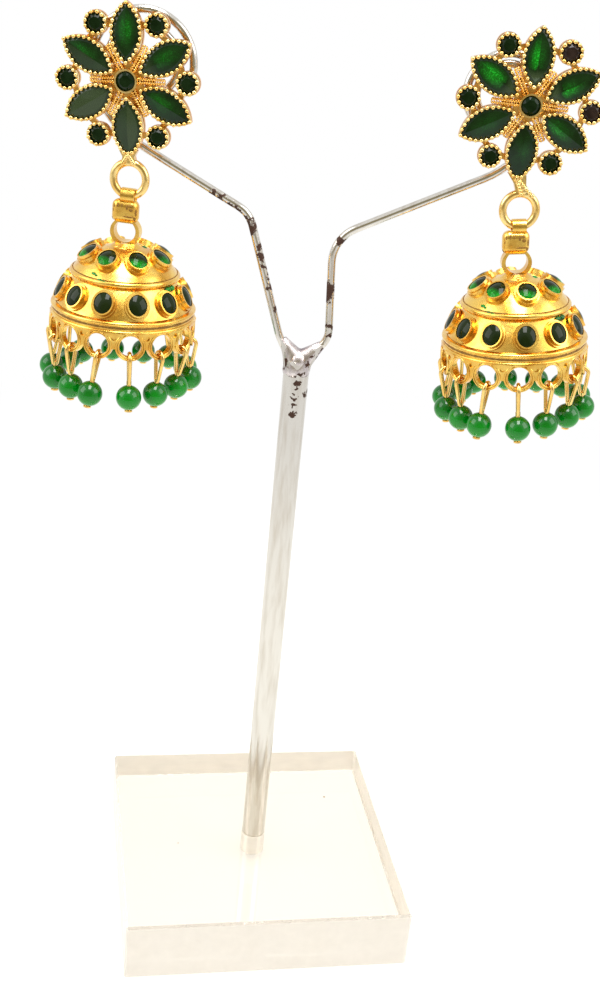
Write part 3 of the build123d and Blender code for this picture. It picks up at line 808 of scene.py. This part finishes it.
@dataclass
class FlowerStud(Earring):
    """Flower of one earring: its metal, its grain rows and its cut stones."""

    # For each petal stone, anticlockwise from the top: painted light on the two halves of its table
    # (above 0 a painted glint of the foil, below 0 a painted olive reflection), the anticlockwise half
    # first, how far the brighter painted patch lies towards its tip, and the painted sheen on its inner end.
    tones: tuple[Row, ...]
    brown_reflected: tuple[int, ...] = ()             # small stones painted brown, a painted reflection of brownish surroundings
    bell_lean: float = 0.0
    tab_level: float = 1.3
    tab_balls: int = 6                      # along each rib of solder on the tab
    tab_aside: float = 0.95                 # from the middle rib to each outer one, at the ring
    petals: int = 6
    petal_centre: float = 7.15
    petal_length: float = 8.7
    petal_width: float = 4.45
    petal_slope: float = 4.0
    small_centre: float = 9.85
    small_radius: float = 1.52
    bezel_top: float = 1.6
    girdle_drop: float = 0.25
    stone_middle: float = 1.975             # of the centre stone's box, above the flower's back
    grain_radius: float = 0.32
    grain_pitch: float = 0.86
    grain_inset: float = 0.12               # of the grains' row outside the stone's edge
    grain_lift: float = 0.08                # of the grains' middles above the setting's edge
    rope_from: float = 2.0                  # twisted wires between the petals: from and to
    rope_to: float = 6.4
    rope_aside: float = 0.27
    rope_level: float = 0.95
    rope_bead: float = 0.27
    rope_pitch: float = 0.4
    rope_twist: float = 38.0                # of each strand, in degrees
    rope_strand: float = 0.2
    recess_shade_from: float = 0.3                # above the flower's back, where the painted shade of the recesses is deepest
    recess_shade_to: float = 1.1
    outline_steps: int = 22
    fine_steps: int = 400                   # of the outline that the grains are spaced on
    # Section of a petal stone from its foot to its keel: (in from the edge, up from the girdle).
    section: tuple[Row, ...] = (
        (1.0, -0.55), (0.0, -0.15), (0.0, 0.0), (0.08, 0.1), (0.5, 0.3), (0.58, 0.32), (1.0, 0.37),
        (1.5, 0.43), (1.95, 0.48), (2.2, 0.5))
    table_level: int = 5
    patch_length: float = 0.2               # of the brighter patch of painted foil glint, as a share of the petal's length
    patch_width: float = 0.62
    patch_aside: float = 0.35               # of its middle from the keel
    sheen_from: float = 0.2                 # shares of the length, from the petal's middle to its inner end
    sheen_fade: float = 0.16
    sheen_tone: float = -1.7
    stone_sharp: float = 7.0                # degrees at which a cut stone's edge stays sharp

    @functools.cached_property
    def place(self) -> Matrix:
        """Finds the flower's own frame.

        Returns:
            Its place: x right, y up, z out of the face, the flower's back at z = 0.
        """
        turn = math.atan2(self.joint["axis"][1], self.joint["axis"][0])
        out = Vector((math.sin(turn), -math.cos(turn), 0.0))
        up = (middle(self.label("petal_stone_1")) - middle(self.label("petal_stone_4"))).normalized()
        origin = middle(self.label("centre_stone")) - out * self.stone_middle
        return Matrix.Translation(origin) @ Matrix((up.cross(out), up, out)).transposed().to_4x4()

    def ring_middle(self) -> Vector:
        """Middle of the stud's ring."""
        lean = math.radians(self.bell_lean)
        return Vector(self.joint["pos_m"]) / MM + Vector((math.sin(lean), 0.0, math.cos(lean))) * RING_RADIUS

    def petal_seat(self, index: int) -> Matrix:
        """Local frame of a petal: x outwards along it."""
        return (turned("Z", 360 / self.petals * index + 90) @ place_at(self.petal_centre, 0, 0)
                @ turned("Y", self.petal_slope))

    def small_seat(self, index: int) -> Matrix:
        """Local frame of a small round stone."""
        return turned("Z", 360 / self.petals * index) @ place_at(self.small_centre, 0, 0)

    def outline(self, grow: float, steps: int) -> list[tuple[float, float]]:
        """Pointed oval, larger by grow all round.

        Args:
            grow: How much larger.
            steps: Points along each side, its first tip included.

        Returns:
            Points from one tip round both sides.
        """
        radius = (self.petal_length ** 2 + self.petal_width ** 2) / (4 * self.petal_width)
        offset = radius - self.petal_width / 2
        half = math.acos(min(1.0, offset / (radius + grow)))
        angles = [half * (2 * i / steps - 1) for i in range(steps)]
        arc = [((radius + grow) * math.sin(a), (radius + grow) * math.cos(a) - offset) for a in angles]
        return arc + [(-x, -y) for x, y in arc]

    @functools.cached_property
    def frame_gold(self) -> Material:
        """Makes the gold of the flower's metal.

        Returns:
            The material, with an orange shade painted into the recesses.
        """
        out = self.place.to_3x3().col[2]
        back = self.place.translation.dot(out)
        return GoldPlate(f"gold_plate_{self.side.value}_stud", pit_depth_mm=0.006, roughness=0.17,
                         recess_shade_out=tuple(out), recess_shade_from=back + self.recess_shade_from,
                         recess_shade_to=back + self.recess_shade_to).build()

    def build(self) -> None:
        """Dresses the flower and adds its grains and stones."""
        dress(self.nodes[self.label("stud_frame")], self.frame_gold)
        dress(self.nodes[self.label("push_back_nut")], self.finishes.polished_gold)
        dress(self.nodes[self.label("centre_stone")], self.finishes.small_stone)
        for i in range(1, self.petals + 1):
            finish = self.finishes.brown_reflected_stone if i in self.brown_reflected else self.finishes.small_stone
            dress(self.nodes[self.label(f"small_stone_{i}")], finish)
        self.build_petal_stones()
        self.build_grains()
        self.build_ropes()
        self.build_tab_solder()
        LOG.info("%s flower: metal dressed, grain rows and petal stones added", self.side.value)

    def build_petal_stones(self) -> None:
        """Makes the six pointed stones, each with a flat crown band and a keeled table."""
        around = 2 * self.outline_steps
        for i, (near, far, shift, sheen) in enumerate(self.tones):
            seat = self.place @ self.petal_seat(i) @ place_at(0, 0, self.bezel_top - self.girdle_drop)
            points, tones = [], []
            for level, (inset, up) in enumerate(self.section):
                for x, y in self.outline(-inset, self.outline_steps):
                    points.append(Vector((x, y, up)))
                    # painted light: a patch of painted foil glint, a painted olive reflection where tone is
                    # below 0, and a painted sheen at the inner end
                    tone = near if y > 0 else far
                    if tone > 0:
                        along = (x / self.petal_length - shift) / self.patch_length
                        across = (abs(y) - self.patch_aside) / self.patch_width
                        tone *= math.exp(-along * along - across * across)
                    inward = (-x / self.petal_length - self.sheen_from) / self.sheen_fade
                    tip = max(0.0, min(1.0, inward)) * sheen
                    tone = tone * (1 - tip) + self.sheen_tone * tip
                    tones.append(tone if level >= self.table_level else 0.5 * min(0.0, tone))
            stone = Piece()
            stone.add(points, tube_faces(len(self.section), around), seat, tones)
            stone.finish(self.label(f"petal_stone_cut_{i + 1}"), self.finishes.stone, Slot.STONE,
                         ROOT_BODY, self.stone_sharp, [self.label(f"petal_stone_{i + 1}")])

    def build_grains(self) -> None:
        """Makes the rows of grains that hold the stones."""
        draw = random.Random(f"{self.side.value} grains")
        rows = []
        side = self.outline(self.grain_inset, self.fine_steps)
        length = sum(math.dist(a, b) for a, b in zip(side, side[1:] + side[:1]))
        step = self.fine_steps / round(length / 2 / self.grain_pitch)
        arc = [side[int(step * i)] for i in range(int(2 * self.fine_steps / step))]
        for i in range(self.petals):
            rows.append((self.place @ self.petal_seat(i), arc))
        for i in range(self.petals):
            reach = self.small_radius + self.grain_inset
            count = round(math.tau * reach / self.grain_pitch)
            first = draw.random()
            angles = [math.tau * (k + first) / count for k in range(count)]
            ring = [(reach * math.cos(angle), reach * math.sin(angle)) for angle in angles]
            rows.append((self.place @ self.small_seat(i), ring))
        grains = Piece()
        for seat, row in rows:
            for x, y in row:
                size = self.grain_radius * draw.uniform(0.88, 1.1)
                shift = Vector((x + draw.uniform(-0.04, 0.04), y + draw.uniform(-0.04, 0.04),
                                self.bezel_top + self.grain_lift + draw.uniform(-0.05, 0.05)))
                grains.ball(seat @ Matrix.Translation(shift), size, size, size * 0.92)
        grains.finish(self.label("grain_rows"), self.finishes.polished_gold, Slot.GOLD, ROOT_BODY)

    def build_tab_solder(self) -> None:
        """Makes the ribs of solder that run from the lowest petal to the ring."""
        ribs = Piece()
        ring = self.place.inverted() @ self.ring_middle()
        top = Vector((0.0, -self.petal_centre - self.petal_length / 2 - 0.1, self.tab_level))
        for aside in (-1, 0, 1):
            foot = Vector((ring.x + self.tab_aside * aside, ring.y + RING_RADIUS - 0.1 * abs(aside),
                           self.tab_level))
            size, depth = (0.34, 0.34) if aside else (0.5, 0.2)
            for k in range(self.tab_balls):
                spot = top.lerp(foot, k / (self.tab_balls - 1))
                ribs.ball(self.place @ Matrix.Translation(spot), size, size * 1.1, depth)
        ribs.finish(self.label("tab_solder"), self.finishes.polished_gold, Slot.GOLD, ROOT_BODY)

    def build_ropes(self) -> None:
        """Makes the pairs of twisted wires that run out between the petals."""
        ropes = Piece()
        count = round((self.rope_to - self.rope_from) / self.rope_pitch)
        for i in range(self.petals):
            for aside, twist in ((self.rope_aside, self.rope_twist), (-self.rope_aside, -self.rope_twist)):
                for k in range(count):
                    seat = (turned("Z", 360 / self.petals * i)
                            @ place_at(self.rope_from + self.rope_pitch * k, aside, self.rope_level)
                            @ turned("Z", twist))
                    ropes.ball(self.place @ seat, self.rope_strand, self.rope_bead * 1.15, self.rope_bead)
        ropes.finish(self.label("rope_wires"), self.frame_gold, Slot.GOLD, ROOT_BODY)


# ---- Bell --------------------------------------------------------------------------------------


@dataclass
class StoneSeat:
    """Place and size of a domed stone, read from its CAD solid."""

    place: Matrix
    half_width: float
    half_height: float
    foot: float
    top: float


@dataclass
class BellDrop(Earring):
    """Bell of one earring: its metal, its domed stones, and its fringe of beads."""

    worn_turn: float                        # bearing of the smears, in degrees from the front
    # painted light on the domed stones: a foil glow low in each stone, and a painted reflection sheen over
    # the rest
    upper_glow: float = 0.8
    lower_glow: float = 0.04
    reflected_sheen: float = 0.12
    crown_curve: float = 2.9
    # Shoulder block: middle (x, z), half sizes of its flat core, and the rounding round that.
    block_middle: tuple[float, float] = (-0.4, -5.25)
    block_core: tuple[float, float, float] = (1.1, 0.1, 0.8)
    block_round: float = 1.15
    # Marks of soldering on the block: x and z as shares of its half size, half width, half height.
    scale_marks: tuple[Row, ...] = (
        (-0.76, 0.5, 0.15, 0.36), (-0.47, 0.56, 0.18, 0.4), (-0.16, 0.56, 0.13, 0.36),
        (0.22, 0.42, 0.22, 0.4), (0.44, 0.56, 0.36, 0.18), (0.52, 0.24, 0.36, 0.26),
        (0.38, -0.36, 0.95, 0.16), (0.86, 0.02, 0.2, 0.6), (-0.92, -0.7, 0.16, 0.3),
        (0.8, -0.5, 0.24, 0.3), (-0.84, 0.1, 0.08, 0.3))
    mark_depth: float = 0.06
    least_out: float = 0.2                  # of the block's rounding in front of its core, at a mark
    # Painted shade in the bell's grooves and under its ledge's lip, as dark rings: radius and height, then
    # half sizes out and up.
    shade_rings: tuple[Row, ...] = (
        (8.78, -14.96, 0.06, 0.06), (8.6, -16.0, 0.12, 0.08), (11.4, -20.74, 0.07, 0.06),
        (11.9, -21.78, 0.05, 0.17))
    shade_around: int = 160
    shade_steps: int = 8                    # round the section of each ring of grime
    shade_wobble: float = 0.05
    skirt_count: int = 14
    skirt_first: float = 6.5
    skirt_radius: float = 11.7
    skirt_height: float = -24.76
    skirt_groove: tuple[float, float, float] = (2.15, 0.35, 0.07)   # radius, level and half size
    groove_around: int = 32
    groove_steps: int = 6
    solder_lumps: int = 14
    solder_top: float = -10.35
    # Smears of green enamel: bearing, radius, height, slope, then half sizes round, up and out.
    smears: tuple[Row, ...] = (
        (-38.0, 8.25, -14.4, 42.0, 0.5, 0.26, 0.09), (-34.0, 8.4, -14.55, 42.0, 0.3, 0.2, 0.09),
        (-27.0, 8.9, -15.05, 30.0, 0.46, 0.24, 0.1), (-22.5, 9.0, -15.15, 25.0, 0.4, 0.17, 0.1),
        (52.0, 9.05, -16.5, 30.0, 0.8, 0.45, 0.3), (58.5, 9.15, -16.45, 30.0, 0.6, 0.5, 0.32),
        (96.0, 3.0, -11.2, 75.0, 0.6, 0.5, 0.25))
    stone_sharp: float = 50.0               # degrees at which a domed stone's edge stays sharp
    stone_around: int = 40
    stone_rings: int = 9

    def axis(self) -> tuple[Vector, Vector]:
        """Finds the line that the bell hangs along.

        Returns:
            The pivot, and the unit vector up the bell's axis.
        """
        across = Vector(self.joint["axis"]).normalized()
        back = Vector((0, 0, 1)).cross(across).normalized()
        return Vector(self.joint["pos_m"]) / MM, across.cross(back)

    @property
    def body(self) -> str:
        """Name of the body that the bell's pieces ride on."""
        return self.label("drop")

    @functools.cached_property
    def place(self) -> Matrix:
        """Finds the bell's own frame.

        Returns:
            Its place: z up its axis, front -Y, origin at the stud ring's centre.
        """
        pivot, up = self.axis()
        across = Vector(self.joint["axis"]).normalized()
        turn = Matrix((across, up.cross(across), up)).transposed().to_4x4()
        return Matrix.Translation(pivot + up * RING_RADIUS) @ turn

    def bearing(self, corners: list[Vector]) -> float:
        """Bearing of a solid's middle about the bell's axis, in radians from the front."""
        x, y, _ = self.place.inverted() @ (sum(corners, Vector()) / len(corners))
        return math.atan2(x, -y)

    def stone_seat(self, corners: list[Vector]) -> StoneSeat:
        """Finds a domed stone's own frame.

        Args:
            corners: Corners of its CAD solid.

        Returns:
            Its place, with z out of the bell and y up its slope, and its half sizes.
        """
        pivot, up_axis = self.axis()
        centre = sum(corners, Vector()) / len(corners)
        out = flat_normal([c - centre for c in corners])
        foot = pivot + up_axis * (centre - pivot).dot(up_axis)
        if out.dot((centre - foot).normalized() + up_axis) < 0:
            out = -out
        up = (up_axis - out * up_axis.dot(out)).normalized()
        right = up.cross(out)
        spans = [[(c - centre).dot(v) for c in corners] for v in (right, up, out)]
        centre += sum((v * ((max(s) + min(s)) / 2) for v, s in zip((right, up), spans)), Vector())
        place = Matrix.Translation(centre) @ Matrix((right, up, out)).transposed().to_4x4()
        return StoneSeat(place, (max(spans[0]) - min(spans[0])) / 2, (max(spans[1]) - min(spans[1])) / 2,
                         min(spans[2]), max(spans[2]))

    def build(self) -> None:
        """Dresses the bell and its fringe, and adds the domed stones."""
        dress(self.nodes[self.label("bell")], self.finishes.cast_gold)
        dress(self.nodes[self.label("drop_wires")], self.finishes.gold_wire)
        dress(self.nodes[self.label("drop_beads")], self.finishes.bead)
        self.build_stones("upper_dome_stones", self.upper_glow)
        self.build_stones("lower_dome_stones", self.lower_glow)
        self.build_marks()
        self.build_groove_shade()
        self.build_smears()
        self.build_solder()
        LOG.info("%s bell: metal, fringe, domed stones, marks and smears dressed", self.side.value)

    def build_marks(self) -> None:
        """Makes the crusty marks that soldering left on the bail's shoulder."""
        marks = Piece()
        level = Vector((0, 0, 1))
        core_x, core_y, core_z = self.block_core
        for across, up, half_width, half_height in self.scale_marks:
            x, z = across * (core_x + self.block_round), up * (core_z + self.block_round)
            over_x = math.copysign(max(abs(x) - core_x, 0.0), x)
            over_z = math.copysign(max(abs(z) - core_z, 0.0), z)
            out = math.sqrt(max(self.least_out ** 2, self.block_round ** 2 - over_x ** 2 - over_z ** 2))
            normal = Vector((over_x, -out, over_z)).normalized()
            spot = Vector((self.block_middle[0] + x, -core_y - out, self.block_middle[1] + z))
            right = level.cross(-normal)
            turn = Matrix((right.normalized(), normal.cross(right).normalized(), normal)).transposed()
            seat = self.place @ Matrix.Translation(spot) @ turn.to_4x4()
            marks.ball(seat, half_width, half_height, self.mark_depth)
        marks.finish(self.label("bail_solder_marks"), self.finishes.tarnish, Slot.GOLD, self.body)

    def build_groove_shade(self) -> None:
        """Makes thin dark lines of painted shade in the grooves of the bell, under its ledge's lip and in
        its skirt rings.
        """
        draw = random.Random(f"{self.side.value} grime")
        grime = Piece()
        for radius, height, out, up in self.shade_rings:
            wobble = [draw.uniform(-1, 1) * self.shade_wobble for _ in range(self.shade_around)]
            sizes = [(out * (1 + 8 * w), up * (1 + 6 * w)) for w in wobble]
            grime.add(*hoop(radius, height, sizes, self.shade_steps), self.place)
        radius, level, size = self.skirt_groove
        for k in range(self.skirt_count):
            turn = self.worn_turn + self.skirt_first + 360 / self.skirt_count * k
            seat = self.place @ turned("Z", turn) @ place_at(0, -self.skirt_radius, self.skirt_height)
            grime.add(*hoop(radius, level, [(size, size)] * self.groove_around, self.groove_steps),
                      seat @ turned("X", 90))
        grime.finish(self.label("groove_grime"), self.finishes.grime, Slot.GOLD, self.body)

    def build_solder(self) -> None:
        """Makes the lumps of solder that hold the bail on the dome."""
        draw = random.Random(f"{self.side.value} solder")
        lumps = Piece()
        for i in range(self.solder_lumps):
            bearing = 360 / self.solder_lumps * (i + draw.uniform(-0.3, 0.3))
            radius, size = draw.uniform(0.9, 2.5), draw.uniform(0.35, 0.62)
            seat = turned("Z", bearing) @ place_at(0, -radius, self.solder_top - 0.3 * radius)
            width, tilt = size * draw.uniform(0.8, 1.5), draw.uniform(-30, 30)
            lumps.ball(self.place @ seat @ turned("X", tilt), width, size, size * 0.7)
        lumps.finish(self.label("bail_solder"), self.finishes.cast_gold, Slot.GOLD, self.body)

    def build_smears(self) -> None:
        """Makes the smears of green enamel on the ledge, under it and beside the bail."""
        smears = Piece()
        for bearing, radius, height, slope, around, up, out in self.smears:
            seat = turned("Z", bearing + self.worn_turn) @ place_at(0, -radius, height) @ turned("X", -slope)
            smears.ball(self.place @ seat, around, out, up)
        smears.finish(self.label("enamel_smears"), self.finishes.enamel, Slot.STONE, self.body)

    def build_stones(self, tier: str, glow: float) -> None:
        """Makes one tier of domed oval stones over foil.

        Args:
            tier: The CAD node that they replace.
            glow: How bright the painted foil glow is low in each stone.
        """
        name, stones = self.label(tier), Piece()
        draw = random.Random(name)
        for corners in sorted(islands(self.nodes[name]), key=self.bearing):
            seat = self.stone_seat(corners)
            rim = min(seat.half_width, seat.half_height)
            points, tones = [], []
            bright = glow * draw.uniform(0.55, 1.0)
            levels = [(0.999, seat.foot, 0.0)]
            for i in range(self.stone_rings):
                share = math.cos(math.pi / 2 * i / self.stone_rings)
                fall = self.crown_curve - math.sqrt(self.crown_curve ** 2 - (rim * share) ** 2)
                levels.append((share, seat.top - fall, 1.0))
            for share, z, lit in levels:
                for k in range(self.stone_around):
                    angle = math.tau * k / self.stone_around
                    x, y = share * math.cos(angle), share * math.sin(angle)
                    points.append(Vector((x * seat.half_width, y * seat.half_height, z)))
                    # painted glow of the foil low in each stone, and a painted reflection sheen where it is
                    # not
                    low = max(0.0, min(1.0, 0.1 - 1.5 * y - 0.3 * x))
                    tones.append(lit * (bright * low - self.reflected_sheen * (1.0 - glow)))
            stones.add(points, tube_faces(len(levels), self.stone_around), seat.place, tones)
        stones.finish(f"{name}_polished", self.finishes.domed_stone, Slot.STONE, self.body,
                      self.stone_sharp, [name])


def flat_normal(offsets: list[Vector]) -> Vector:
    """Direction in which a cloud of points is thinnest.

    Args:
        offsets: Points, from their middle.

    Returns:
        A unit vector.
    """
    spread = numpy.array([list(o) for o in offsets])
    values, vectors = numpy.linalg.eigh(spread.T @ spread)
    return Vector(vectors[:, int(values.argmin())])


# ---- Table, light and camera -------------------------------------------------------------------


@dataclass(frozen=True)
class Softbox:
    """A soft lamp: bearing and height in degrees, distance, width and length in metres, power in watts."""

    name: str
    bearing: float
    height: float
    distance: float
    width: float
    length: float
    power: float
    spread_light: float                     # share of its light that matt surfaces get


@dataclass
class Studio:
    """White table, plain soft light and the camera."""

    aim: tuple[float, float, float] = (0.0, 0.0, 0.12)
    table_half: float = 3.0
    table_drop: float = 0.0001
    paper: str = "FBFAF4"
    paper_glow: float = 0.62
    shade_from: float = 0.06
    shade_to: float = 0.3
    sky: float = 0.95
    dark_height: float = 5.0                # middle of the dim part of the room, behind the camera
    dark_core: float = 22.0
    dark_reach: float = 50.0
    dark_room: str = "A2987A"
    dim_from: float = -0.33                 # the table's front part is dim in reflections
    dim_to: float = -0.9
    lamps: tuple[Softbox, ...] = (
        Softbox("top_panel", -2.0, 79.0, 0.62, 0.24, 0.5, 4.6, 0.12),
        Softbox("left_side_panel", -75.0, 30.0, 0.7, 0.5, 0.5, 2.4, 0.5),
        Softbox("right_side_panel", 75.0, 34.0, 0.7, 0.5, 0.5, 2.4, 0.5))
    camera_mm: tuple[float, float, float] = (2.722, -223.548, 185.879)
    camera_height: float = 23.682           # degrees above the horizon, looking down
    camera_roll: float = 5.636
    lens_mm: float = 49.264
    sensor_mm: float = 36.0

    def build(self) -> None:
        """Builds the table, the light and the camera."""
        self.build_table()
        self.build_room()
        for lamp in self.lamps:
            self.build_lamp(lamp)
        self.build_camera()
        LOG.info("studio: table, room light, %d lamps and camera", len(self.lamps))

    def build_table(self) -> None:
        """Makes the white table, which keeps the object's soft shadow near it."""
        corners = [(x * self.table_half, y * self.table_half, -self.table_drop)
                   for x, y in ((-1, -1), (1, -1), (1, 1), (-1, 1))]
        mesh = bpy.data.meshes.new("table")
        mesh.from_pydata(corners, [], [(0, 1, 2, 3)])
        table = new_object("table", mesh)
        made, tree, spot = new_material("white_paper")
        away = add_node(tree, "ShaderNodeVectorMath", {0: spot}, operation="LENGTH").outputs["Value"]
        glow = ramp(tree, away, self.shade_from, self.shade_to, self.paper_glow, smooth=True)
        matt = add_node(tree, "ShaderNodeBsdfDiffuse", {0: linear(self.paper)}).outputs[0]
        white = add_node(tree, "ShaderNodeEmission", {0: linear("FFFFFF"), 1: 1.0}).outputs[0]
        paper = mix_shaders(tree, glow, matt, white)
        forward = add_node(tree, "ShaderNodeSeparateXYZ", {0: spot}).outputs[1]
        front = ramp(tree, forward, self.dim_from, self.dim_to, smooth=True)
        light = add_node(tree, "ShaderNodeLightPath")
        mirrored = maths(tree, "MULTIPLY", front, light.outputs["Is Glossy Ray"])
        dim = add_node(tree, "ShaderNodeEmission", {0: linear(self.dark_room), 1: 1.0}).outputs[0]
        mixed = mix_shaders(tree, mirrored, paper, dim)
        dress(table, close(made, mixed))

    def build_room(self) -> None:
        """Makes the light of the room: white, and dim and brown behind the camera."""
        world = bpy.data.worlds.new("white_tent")
        bpy.context.scene.world = world
        world.use_nodes = True
        tree = world.node_tree
        tree.nodes.clear()
        height = math.radians(self.dark_height)
        way = add_node(tree, "ShaderNodeTexCoord").outputs["Generated"]
        facing = add_node(tree, "ShaderNodeVectorMath", {
            0: way, 1: (0.0, -math.cos(height), math.sin(height))}, operation="DOT_PRODUCT").outputs["Value"]
        far, near = (math.cos(math.radians(a)) for a in (self.dark_reach, self.dark_core))
        dim = ramp(tree, facing, far, near, smooth=True)
        colour = blend(tree, dim, "FFFFFF", self.dark_room)
        room = add_node(tree, "ShaderNodeBackground", {0: colour, 1: self.sky}).outputs[0]
        white = add_node(tree, "ShaderNodeBackground", {0: linear("FFFFFF"), 1: 1.0}).outputs[0]
        light = add_node(tree, "ShaderNodeLightPath")
        seen = maths(tree, "MAXIMUM", light.outputs["Is Camera Ray"], light.outputs["Is Transmission Ray"])
        mixed = mix_shaders(tree, seen, room, white)
        add_node(tree, "ShaderNodeOutputWorld", {0: mixed})

    def build_lamp(self, lamp: Softbox) -> None:
        """Hangs one soft lamp.

        Args:
            lamp: Its place, size and power.
        """
        light = bpy.data.lights.new(lamp.name, "AREA")
        light.shape, light.size, light.size_y = "RECTANGLE", lamp.width, lamp.length
        light.energy, light.diffuse_factor = lamp.power, lamp.spread_light
        made = new_object(lamp.name, light)
        bearing, height = math.radians(lamp.bearing), math.radians(lamp.height)
        away = Vector((math.sin(bearing) * math.cos(height), -math.cos(bearing) * math.cos(height),
                       math.sin(height)))
        made.location = Vector(self.aim) + away * lamp.distance
        made.rotation_mode = "QUATERNION"
        made.rotation_quaternion = away.to_track_quat("Z", "Y")

    def build_camera(self) -> None:
        """Sets up the camera."""
        data = bpy.data.cameras.new("camera")
        data.lens, data.sensor_width, data.sensor_fit = self.lens_mm, self.sensor_mm, "AUTO"
        data.clip_start, data.clip_end = 0.01, 20.0
        camera = new_object("camera", data)
        camera.matrix_world = (Matrix.Translation(Vector(self.camera_mm) * MM)
                               @ turned("X", 90 - self.camera_height) @ turned("Z", self.camera_roll))
        bpy.context.scene.camera = camera


# ---- Whole object ------------------------------------------------------------------------------


def main() -> None:
    """Builds the scene."""
    logging.basicConfig(level=logging.INFO, format="%(name)s: %(message)s")
    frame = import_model()
    joints = {joint["child"]: joint for joint in frame["joints"]}
    given = frame["nodes"], Finishes()
    Stand(*given).build()
    # painted light on each flower's petal stones: foil glints, olive reflections and sheen
    tones = {
        Side.LEFT: ((0.3, 0.35, 0.05, 0.0), (-0.3, 0.2, 0.1, 0.15), (-0.85, -0.8, 0.0, 0.0),
                    (-0.85, -0.4, 0.0, 0.0), (0.25, 0.12, -0.1, 0.0), (0.2, 0.2, 0.0, 0.3)),
        Side.RIGHT: ((1.0, 0.2, 0.0, 0.7), (0.75, 0.85, 0.05, 0.5), (0.12, 0.06, 0.0, 0.0),
                     (0.1, 0.05, 0.0, 0.0), (0.15, 0.5, -0.15, 0.0), (0.2, 0.8, -0.15, 0.6))}
    # small stones painted brown: a painted reflection
    brown_reflected = {Side.LEFT: (), Side.RIGHT: (1, 2)}
    worn = {Side.LEFT: 15.4, Side.RIGHT: -10.7}
    lean = {Side.LEFT: -0.5, Side.RIGHT: 6.6}
    for side in Side:
        joint = joints[f"{side.value}_drop"]
        FlowerStud(*given, side, joint, tones[side], brown_reflected[side], lean[side]).build()
        BellDrop(*given, side, joint, worn[side]).build()
    Studio().build()
    bpy.context.scene.view_settings.view_transform = "Standard"


if __name__ == "__main__":
    main()
